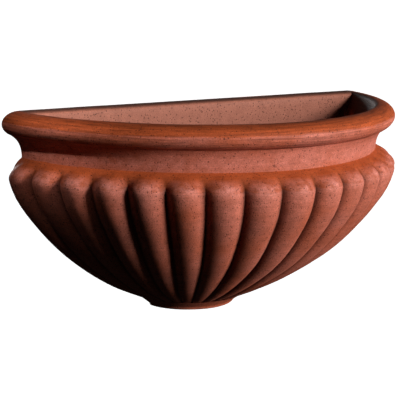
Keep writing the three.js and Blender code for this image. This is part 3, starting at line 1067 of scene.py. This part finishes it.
def bloom_and_sheen_group():
    """Cloudy dry bloom and painted sheen, less where the clay faces up, and painted shade on top.
    """
    tree, given, out = new_group(
        "Bloom and sheen", {"Patch size": 0.05, "Cover": 0.5, "Sheen off top": 1.1, "Dark top": 0.4},
        ("Bloom and sheen", "Painted top shade"),
    )
    clouds = noise(tree, given["Vector"], per_metre(tree, given["Patch size"]), 4.0, 0.6)
    upward = facing(tree)["Z"]
    # painted sheen: the pinker bloom colour gives way to fired clay where the surface faces up
    bare = times(tree, remap(tree, upward, *TURNS_SHEEN_OFF), given["Sheen off top"])
    cover = math_node(tree, "SUBTRACT", math_node(tree, "ADD", given["Cover"], clouds), bare)
    tree.links.new(remap(tree, cover, *BLOOM_AND_SHEEN_EDGE), out["Bloom and sheen"])
    # painted shade on the surfaces that face up
    dark = times(tree, remap(tree, upward, *TURNS_DARK), given["Dark top"])
    tree.links.new(math_node(tree, "SUBTRACT", 1.0, dark), out["Painted top shade"])
    return tree


def shared_groups():
    """The effects that more than one material uses, built once."""
    made = bpy.data.node_groups
    return {
        "grit": made.get("Grit") or grit_group(),
        "wiping": made.get("Wiping") or wiping_group(),
        "bloom": made.get("Bloom and sheen") or bloom_and_sheen_group(),
    }


# ---- materials ----

# each clay piece: the look's colour of its bloom and painted sheen, how far bloom covers it, how
# strong its streaks are, the share of its specks, and how much painted sheen it loses and how much
# painted shade it takes where it faces up
BOWL_CLAY = {
    "bloom": "pink_bloom_and_sheen", "cover": 0.4, "streaks": 0.1, "specks": 0.5, "bare": 1.5, "dark": 0.1,
}
RIM_CLAY = {
    "bloom": "pink_bloom_and_sheen", "cover": 0.4, "streaks": 0.36, "specks": 0.3, "bare": 1.1, "dark": 0.4,
}
BACK_CLAY = {
    "bloom": "pale_inside", "cover": 0.75, "streaks": 0.05, "specks": 0.5, "bare": 0.0,
    "dark": 0.75,
}
FOOT_CLAY = {
    "bloom": "pink_bloom_and_sheen", "cover": 0.3, "streaks": 0.08, "specks": 0.4, "bare": 1.1, "dark": 0.4,
}
PITS = {"Grain size": 0.0010, "Speck spacing": 0.0016, "Speck size": 0.48, "Speck share": 0.4}
GRIT = {"Grain size": 0.007, "Speck spacing": 0.0030, "Speck size": 0.19}
PIT_DARKNESS = 0.62
GRAIN_TONES = (0.74, 1.24)
CLOUD_TONES = (0.9, 1.08)
SHADE_DARKNESS = -0.78  # what full painted shade takes off the brightness
HIGHLIGHT_GRAIN = (0.35, 0.6, 0.35, 1.0)  # the grain that breaks up the painted highlight
NO_SHADE_BEHIND = (0.93, 0.99, 1.0, 0.0)  # no painted shade on the faces that lie against the wall
PIT_SPAN = (0.2, 0.8)
CLAY_ROUGHNESS = (0.5, 0.68)
CLAY_SHINE = 0.13
CLAY_RELIEF = {"Strength": 0.5, "Distance": 0.0004}
STREAK_RELIEF = 0.5
FIXING_RELIEF = 0.0001


def new_material(name):
    material = bpy.data.materials.new(name)
    material.use_nodes = True
    material.node_tree.nodes.clear()
    return material, material.node_tree


def show(tree, shader, output="ShaderNodeOutputMaterial"):
    tree.links.new(shader.outputs[0], put(tree, output).inputs["Surface"])


def terracotta(name, look, groups, clay):
    """Unglazed fired clay: fired body, dry bloom with painted sheen, sponge streaks, fine pits and
    grit, painted highlight and painted shade.
    """
    material, tree = new_material(name)
    where = put(tree, "ShaderNodeTexCoord").outputs["Object"]

    def use(group, **values):
        inputs = {"Vector": where, **values}
        return put(tree, "ShaderNodeGroup", inputs, node_tree=groups[group]).outputs

    pits = use("grit", **PITS)
    grit = use("grit", **GRIT, **{"Speck share": clay["specks"]})
    wiping = use("wiping")["Streaks"]
    patches = use("bloom", **{
        "Cover": clay["cover"], "Sheen off top": clay["bare"], "Dark top": clay["dark"],
    })
    # bloom colour, partly real cloudy bloom and partly a painted sheen on the upright faces
    bloomed = mix_colour(tree, patches["Bloom and sheen"], look.fired_orange, getattr(look, clay["bloom"]))
    # painted highlight on each lobe's dome and at the neck's foot, broken up by the grain
    highlighted = put(tree, "ShaderNodeAttribute", attribute_name=PAINTED_HIGHLIGHT).outputs["Fac"]
    pale = times(tree, highlighted, remap(tree, grit["Grain"], *HIGHLIGHT_GRAIN))
    body = mix_colour(tree, pale, bloomed, look.highlight_pale)

    streaks = clay["streaks"]
    streaked = remap(tree, wiping, *NOISE_SPAN, 1.0 - streaks, 1.0 + streaks)
    grained = remap(tree, pits["Grain"], *NOISE_SPAN, *GRAIN_TONES)
    clouded = remap(tree, grit["Grain"], *NOISE_SPAN, *CLOUD_TONES)
    # painted shade in the creases, inside the pot and over the rim's inside; none on faces against
    # the wall
    shade_mask = put(tree, "ShaderNodeAttribute", attribute_name=PAINTED_SHADE).outputs["Fac"]
    shade_mask = times(tree, shade_mask, remap(tree, facing(tree)["Y"], *NO_SHADE_BEHIND))
    unshaded = math_node(tree, "MULTIPLY_ADD", shade_mask, SHADE_DARKNESS, 1.0)
    shade = times(tree, streaked, grained, clouded, unshaded, patches["Painted top shade"])
    toned = vector_math(tree, "SCALE", first=body, by=shade)[0]
    faint_pits = times(tree, pits["Specks"], PIT_DARKNESS)
    dark = math_node(tree, "MAXIMUM", grit["Specks"], faint_pits)

    height = math_node(tree, "ADD", pits["Height"], times(tree, wiping, STREAK_RELIEF))
    bump = put(tree, "ShaderNodeBump", {"Height": height, **CLAY_RELIEF})
    shader = put(tree, "ShaderNodeBsdfPrincipled", {
        "Base Color": mix_colour(tree, dark, toned, look.dark_speck),
        "Roughness": remap(tree, pits["Grain"], *PIT_SPAN, *CLAY_ROUGHNESS),
        "Normal": bump.outputs["Normal"],
        "Specular IOR Level": CLAY_SHINE,
    })
    show(tree, shader)
    return material


def fixing_material(name, groups, plain, flecks, grain, tones, roughness, relief, bump, metallic):
    """A plated or moulded surface with fine grain, and flecks a share as bright as the rest."""
    material, tree = new_material(name)
    where = put(tree, "ShaderNodeTexCoord").outputs["Object"]
    inputs = {"Vector": where, **grain}
    grit = put(tree, "ShaderNodeGroup", inputs, node_tree=groups["grit"]).outputs
    flecked = mix_colour(tree, grit["Specks"], plain, tuple(c * flecks for c in plain))
    tone = remap(tree, grit["Grain"], *NOISE_SPAN, *tones)
    raised = put(tree, "ShaderNodeBump", {
        "Height": grit[relief], "Strength": bump, "Distance": FIXING_RELIEF,
    })
    shader = put(tree, "ShaderNodeBsdfPrincipled", {
        "Base Color": vector_math(tree, "SCALE", first=flecked, by=tone)[0],
        "Roughness": remap(tree, grit["Grain"], *NOISE_SPAN, *roughness),
        "Metallic": metallic,
        "Normal": raised.outputs["Normal"],
    })
    show(tree, shader)
    return material


def plated(look, groups):
    """Zinc-plated steel, slightly spangled and worn."""
    return fixing_material(
        "zinc_plate", groups, look.zinc, flecks=0.55,
        grain={"Grain size": 0.0015, "Speck share": 0.2}, tones=(0.8, 1.1),
        roughness=(0.28, 0.46), relief="Grain", bump=0.2, metallic=1.0,
    )


def moulded(look, groups):
    """Moulded plug plastic with a faint mottle."""
    return fixing_material(
        "plug_plastic", groups, look.plug_grey, flecks=0.8,
        grain={"Grain size": 0.0008, "Speck share": 0.1}, tones=(0.9, 1.08),
        roughness=(0.42, 0.55), relief="Height", bump=0.15, metallic=0.0,
    )


def clay_piece(context, make, node, clay):
    """Makes a clay piece, gives it its material, and sets it in place of a solid."""
    piece = make(context.scene.planter_sizes)
    material = terracotta(
        f"clay_of_{piece.name}", context.scene.planter_look, shared_groups(), clay
    )
    piece.data.materials.clear()
    piece.data.materials.append(material)
    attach(piece, "root")
    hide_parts(node)
    return {"FINISHED"}


# ---- operators ----


class PLANTER_OT_bowl(bpy.types.Operator):
    """Build the lobed bowl with its neck, hollow and floor"""

    bl_idname = "planter.bowl"
    bl_label = "Bowl"

    def execute(self, context):
        return clay_piece(context, make_bowl, "bowl_wall", BOWL_CLAY)


class PLANTER_OT_rim(bpy.types.Operator):
    """Build the rolled rim"""

    bl_idname = "planter.rim"
    bl_label = "Rim"

    def execute(self, context):
        return clay_piece(context, make_rim, "rim_roll", RIM_CLAY)


class PLANTER_OT_back(bpy.types.Operator):
    """Build the flat back with its two hanging holes"""

    bl_idname = "planter.back"
    bl_label = "Back"

    def execute(self, context):
        return clay_piece(context, make_back, "back_slab", BACK_CLAY)


class PLANTER_OT_foot(bpy.types.Operator):
    """Build the half-round foot"""

    bl_idname = "planter.foot"
    bl_label = "Foot"

    def execute(self, context):
        return clay_piece(context, make_foot, "foot", FOOT_CLAY)


class PLANTER_OT_fixings(bpy.types.Operator):
    """Build the screws, washers and wall plugs"""

    bl_idname = "planter.fixings"
    bl_label = "Screws, washers and plugs"

    def execute(self, context):
        scene, groups = context.scene, shared_groups()
        look = scene.planter_look
        steel, plastic = plated(look, groups), moulded(look, groups)
        kinds = (
            (make_screw, "screw", "zinc_steel", steel, "wall_screw"),
            (make_washer, "washer_ring", "zinc_steel", steel, "washer"),
            (make_plug, "plug", "plug_nylon", plastic, "wall_plug"),
        )
        for make, word, slot, material, node in kinds:
            made = pair(scene.planter_sizes, make, scene.fixing_sizes, word)
            for piece, side in zip(made, ("left", "right")):
                piece.data.materials.clear()
                piece.data.materials.append(material)
                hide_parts(f"{node}_{side}")
        return {"FINISHED"}


# ---- stage ----

# of each wide lamp, in degrees: its bearing to the right of straight ahead, height and spread
KEY_LAMP = (24, 21, 18)
SIDE_LAMP = (46, 6, 16)
BACK_LAMP = (170, 3, 20)

FILL_AIM = Vector((-0.188, -0.052, 0.056))
FILL_BEARING = math.radians(-62)
FILL_HEIGHT = math.radians(45)
FILL_DISTANCE = 1.5
FILL_REACH = 0.060  # radius of the pool of light
FILL_SOFTNESS = 0.03
FILL_FADE = 0.9

CAMERA_BEARING = math.radians(-36.499)
CAMERA_HEIGHT = math.radians(10.874)
CAMERA_ROLL = math.radians(1.739)
CAMERA_DISTANCE = 1.3826
CAMERA_AIM = Vector((0, -0.080, -0.055))
CAMERA_ASIDE = -0.04040
CAMERA_RAISE = 0.01831
CAMERA_LENS = 139.72
CAMERA_CLIP = (0.05, 200)

FLOOR_SIZE = 120
FLOOR_PALE = (0.8, 0.8, 0.8, 1)  # as the camera sees it, with its glow
FLOOR_GLOW = 0.75
FLOOR_DULL = (0.015, 0.015, 0.015, 1)  # as it lights the pot
GLOSSY_SHARE = 0.12  # of the white surroundings, in the pot's sheen
WHITE = (1, 1, 1, 1)


def direction(bearing, height):
    """Towards a bearing, counted to the right of straight ahead, and a height above level."""
    return Vector((
        math.sin(bearing) * math.cos(height), -math.cos(bearing) * math.cos(height),
        math.sin(height),
    ))


def add_lamp(kind, name, energy, towards):
    """A lamp that shines from the given direction."""
    clear_selection()
    bpy.ops.object.light_add(type=kind)
    lamp = bpy.context.object
    lamp.name = name
    lamp.data.energy = energy
    lamp.rotation_mode = "QUATERNION"
    lamp.rotation_quaternion = towards.to_track_quat("Z", "Y")
    return lamp


def add_sun(name, strength, bearing, height, spread):
    """A wide soft lamp."""
    towards = direction(math.radians(bearing), math.radians(height))
    add_lamp("SUN", name, strength, towards).data.angle = math.radians(spread)


def add_snooted_lamp(name, energy):
    """A narrow soft pool of light on the left end of the rim and neck."""
    towards = direction(FILL_BEARING, FILL_HEIGHT)
    lamp = add_lamp("SPOT", name, energy, towards)
    lamp.data.shadow_soft_size = FILL_SOFTNESS
    lamp.data.spot_size = 2 * math.atan(FILL_REACH / FILL_DISTANCE)
    lamp.data.spot_blend = FILL_FADE
    lamp.location = FILL_AIM + towards * FILL_DISTANCE


def make_camera():
    forward = -direction(CAMERA_BEARING, CAMERA_HEIGHT)
    right = forward.cross(Vector((0, 0, 1))).normalized()
    up = right.cross(forward)
    clear_selection()
    bpy.ops.object.camera_add()
    camera = bpy.context.object
    camera.name = "camera"
    camera.data.lens = CAMERA_LENS
    camera.data.clip_start, camera.data.clip_end = CAMERA_CLIP
    place_at = CAMERA_AIM - forward * CAMERA_DISTANCE
    camera.location = place_at + right * CAMERA_ASIDE + up * CAMERA_RAISE
    rolled_right = right * math.cos(CAMERA_ROLL) + up * math.sin(CAMERA_ROLL)
    rolled_up = up * math.cos(CAMERA_ROLL) - right * math.sin(CAMERA_ROLL)
    camera.rotation_mode = "QUATERNION"
    axes = Matrix((rolled_right, rolled_up, -forward)).transposed()
    camera.rotation_quaternion = axes.to_quaternion()
    bpy.context.scene.camera = camera


def mix_shaders(tree, amount, low, high):
    mix = put(tree, "ShaderNodeMixShader", {0: amount})
    tree.links.new(low.outputs[0], mix.inputs[1])
    tree.links.new(high.outputs[0], mix.inputs[2])
    return mix


def floor_material():
    """White to the camera, dull to all other light, and clear from below."""
    material, tree = new_material("studio_floor")
    pale = put(tree, "ShaderNodeBsdfDiffuse", {"Color": FLOOR_PALE})
    glow = put(tree, "ShaderNodeEmission", {"Color": WHITE, "Strength": FLOOR_GLOW})
    lit = put(tree, "ShaderNodeAddShader")
    tree.links.new(pale.outputs[0], lit.inputs[0])
    tree.links.new(glow.outputs[0], lit.inputs[1])
    dull = put(tree, "ShaderNodeBsdfDiffuse", {"Color": FLOOR_DULL})
    seen = put(tree, "ShaderNodeLightPath").outputs["Is Camera Ray"]
    from_below = put(tree, "ShaderNodeNewGeometry").outputs["Backfacing"]
    clear = put(tree, "ShaderNodeBsdfTransparent")
    show(tree, mix_shaders(tree, from_below, mix_shaders(tree, seen, dull, lit), clear))
    return material


def light_room(scene, strength):
    """White surroundings where the camera looks straight at them, and a weak light all round."""
    world = bpy.data.worlds.new("studio")
    scene.world = world
    world.use_nodes = True
    tree = world.node_tree
    tree.nodes.clear()
    rays = put(tree, "ShaderNodeLightPath").outputs
    seen = math_node(
        tree, "MULTIPLY_ADD", rays["Is Glossy Ray"], GLOSSY_SHARE, rays["Is Camera Ray"],
        clamp=True,
    )
    room = put(tree, "ShaderNodeBackground", {"Color": WHITE, "Strength": strength})
    white = put(tree, "ShaderNodeBackground", {"Color": WHITE, "Strength": 1.0})
    show(tree, mix_shaders(tree, seen, room, white), "ShaderNodeOutputWorld")


class PLANTER_OT_stage(bpy.types.Operator):
    """Build the floor, the lamps and the camera"""

    bl_idname = "planter.stage"
    bl_label = "Stage"

    def execute(self, context):
        look = context.scene.planter_look
        clear_selection()
        bpy.ops.mesh.primitive_plane_add(size=FLOOR_SIZE, location=(0, 0, -look.floor_drop))
        floor = named("floor")
        floor.data.materials.append(floor_material())
        light_room(context.scene, look.room_strength)
        add_sun("key", look.key_strength, *KEY_LAMP)
        add_sun("side", look.side_strength, *SIDE_LAMP)
        add_snooted_lamp("fill", look.fill_strength)
        add_sun("back", look.back_strength, *BACK_LAMP)
        context.scene.view_settings.view_transform = "Standard"
        make_camera()
        return {"FINISHED"}


STEPS = (
    PLANTER_OT_stage, PLANTER_OT_bowl, PLANTER_OT_rim, PLANTER_OT_back, PLANTER_OT_foot,
    PLANTER_OT_fixings,
)
GROUPS = {
    "planter_sizes": PlanterSizes, "fixing_sizes": FixingSizes, "planter_look": PlanterLook,
}


class PLANTER_PT_panel(bpy.types.Panel):
    """Sizes, looks and pieces of the planter"""

    bl_label = "Wall planter"
    bl_idname = "PLANTER_PT_panel"
    bl_space_type = "VIEW_3D"
    bl_region_type = "UI"
    bl_category = "Planter"

    def draw(self, context):
        for step in STEPS:
            self.layout.operator(step.bl_idname)
        for group in GROUPS:
            column = self.layout.column()
            for name in getattr(context.scene, group).bl_rna.properties.keys():
                if name not in ("rna_type", "name"):
                    column.prop(getattr(context.scene, group), name)


def register():
    for name, group in GROUPS.items():
        bpy.utils.register_class(group)
        setattr(bpy.types.Scene, name, PointerProperty(type=group))
    for step in (*STEPS, PLANTER_PT_panel):
        bpy.utils.register_class(step)


def unregister():
    for step in reversed((*STEPS, PLANTER_PT_panel)):
        bpy.utils.unregister_class(step)
    for name, group in GROUPS.items():
        delattr(bpy.types.Scene, name)
        bpy.utils.unregister_class(group)


def main():
    register()
    for step in STEPS:
        family, word = step.bl_idname.split(".")
        getattr(getattr(bpy.ops, family), word)()


if __name__ == "__main__":
    main()
